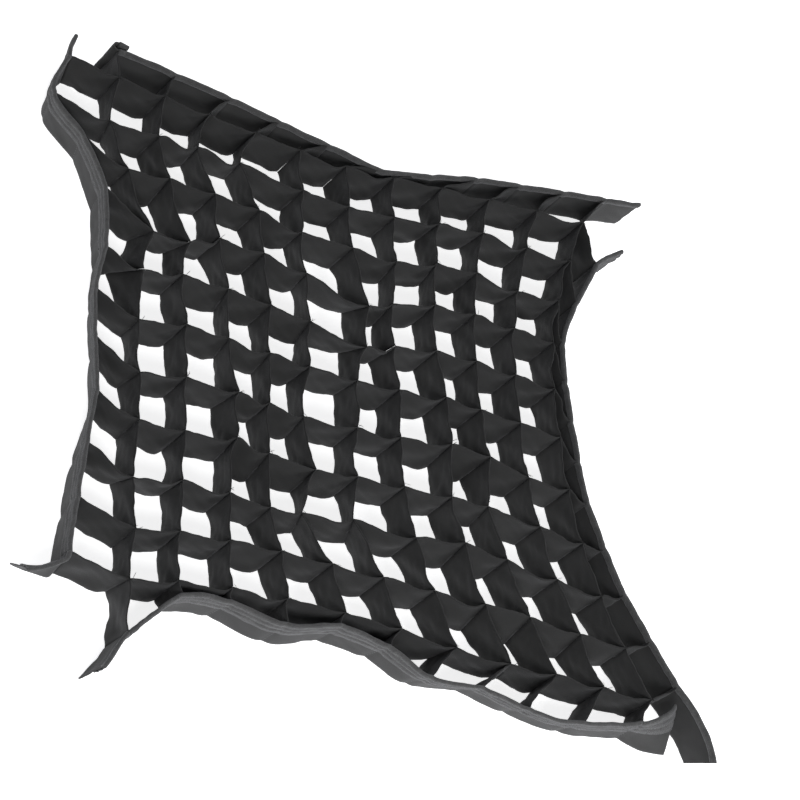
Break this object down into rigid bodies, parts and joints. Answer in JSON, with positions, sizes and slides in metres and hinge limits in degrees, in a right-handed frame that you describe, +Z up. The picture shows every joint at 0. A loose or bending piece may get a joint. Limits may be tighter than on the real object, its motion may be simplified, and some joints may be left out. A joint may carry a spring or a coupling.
{
  "type": "softbox light-control grid",
  "caption": "Fabric egg-crate light-control grid for a softbox: crossed cloth strips slotted together inside hook-tape border bands, lying loose and out of square.",
  "frame": {"origin": "on the floor plane under the middle of the grid's bounding box", "axes": "+X right along the row strips, +Y to the rear along the column strips, +Z up through the cells, out of the floor"},
  "size_m": [0.6638, 0.6075, 0.04],
  "materials": {
    "strip_cloth": "matte black woven cloth",
    "band_cloth": "matte dark grey woven cloth, lighter than the strips",
    "hook_tape": "fuzzy dark grey hook-and-loop tape"
  },
  "bodies": {
    "grid": {"row_strip_01": "strip_cloth", "row_strip_02": "strip_cloth", "row_strip_03": "strip_cloth", "row_strip_04": "strip_cloth", "row_strip_05": "strip_cloth", "row_strip_06": "strip_cloth", "row_strip_07": "strip_cloth", "row_strip_08": "strip_cloth", "row_strip_09": "strip_cloth", "row_strip_10": "strip_cloth", "row_strip_11": "strip_cloth", "column_strip_01": "strip_cloth", "column_strip_02": "strip_cloth", "column_strip_03": "strip_cloth", "column_strip_04": "strip_cloth", "column_strip_05": "strip_cloth", "column_strip_06": "strip_cloth", "column_strip_07": "strip_cloth", "column_strip_08": "strip_cloth", "column_strip_09": "strip_cloth", "column_strip_10": "strip_cloth", "column_strip_11": "strip_cloth", "band_left": "band_cloth", "band_right": "band_cloth", "band_front": "band_cloth", "band_rear": "band_cloth", "tape_left": "hook_tape", "tape_right": "hook_tape", "tape_front": "hook_tape", "tape_rear": "hook_tape"},
    "flap_left_front": {"flap_left_front": "band_cloth", "flap_tape_left_front": "hook_tape"},
    "flap_left_rear": {"flap_left_rear": "band_cloth", "flap_tape_left_rear": "hook_tape"},
    "flap_right_front": {"flap_right_front": "band_cloth", "flap_tape_right_front": "hook_tape"},
    "flap_right_rear": {"flap_right_rear": "band_cloth", "flap_tape_right_rear": "hook_tape"},
    "flap_front_left": {"flap_front_left": "band_cloth", "flap_tape_front_left": "hook_tape"},
    "flap_front_right": {"flap_front_right": "band_cloth", "flap_tape_front_right": "hook_tape"},
    "flap_rear_left": {"flap_rear_left": "band_cloth", "flap_tape_rear_left": "hook_tape"},
    "flap_rear_right": {"flap_rear_right": "band_cloth", "flap_tape_rear_right": "hook_tape"}
  },
  "joints": [
    {"name": "fold_left_front", "type": "hinge", "parent": "grid", "child": "flap_left_front", "pos_m": [-0.28895, -0.21337, 0], "axis": [0, 0, 1], "range_deg": [-34, 66]},
    {"name": "fold_left_rear", "type": "hinge", "parent": "grid", "child": "flap_left_rear", "pos_m": [-0.29232, 0.25836, 0.02], "axis": [-0.2873, 0, 0.9578], "range_deg": [-60, 0]},
    {"name": "fold_right_front", "type": "hinge", "parent": "grid", "child": "flap_right_front", "pos_m": [0.2982, -0.18287, 0], "axis": [0, 0, 1], "range_deg": [0, 96]},
    {"name": "fold_right_rear", "type": "hinge", "parent": "grid", "child": "flap_right_rear", "pos_m": [0.23889, 0.22426, 0], "axis": [0, 0, 1], "range_deg": [-78, 22]},
    {"name": "fold_front_left", "type": "hinge", "parent": "grid", "child": "flap_front_left", "pos_m": [-0.23859, -0.26955, 0], "axis": [0, 0, 1], "range_deg": [-39, 71]},
    {"name": "fold_front_right", "type": "hinge", "parent": "grid", "child": "flap_front_right", "pos_m": [0.25944, -0.22482, 0], "axis": [0, 0, 1], "range_deg": [-56, 14]},
    {"name": "fold_rear_left", "type": "hinge", "parent": "grid", "child": "flap_rear_left", "pos_m": [-0.25419, 0.28161, 0], "axis": [0, 0, 1], "range_deg": [0, 150]},
    {"name": "fold_rear_right", "type": "hinge", "parent": "grid", "child": "flap_rear_right", "pos_m": [0.25345, 0.29513, 0], "axis": [0, 0, 1], "range_deg": [-15, 100]}
  ]
}
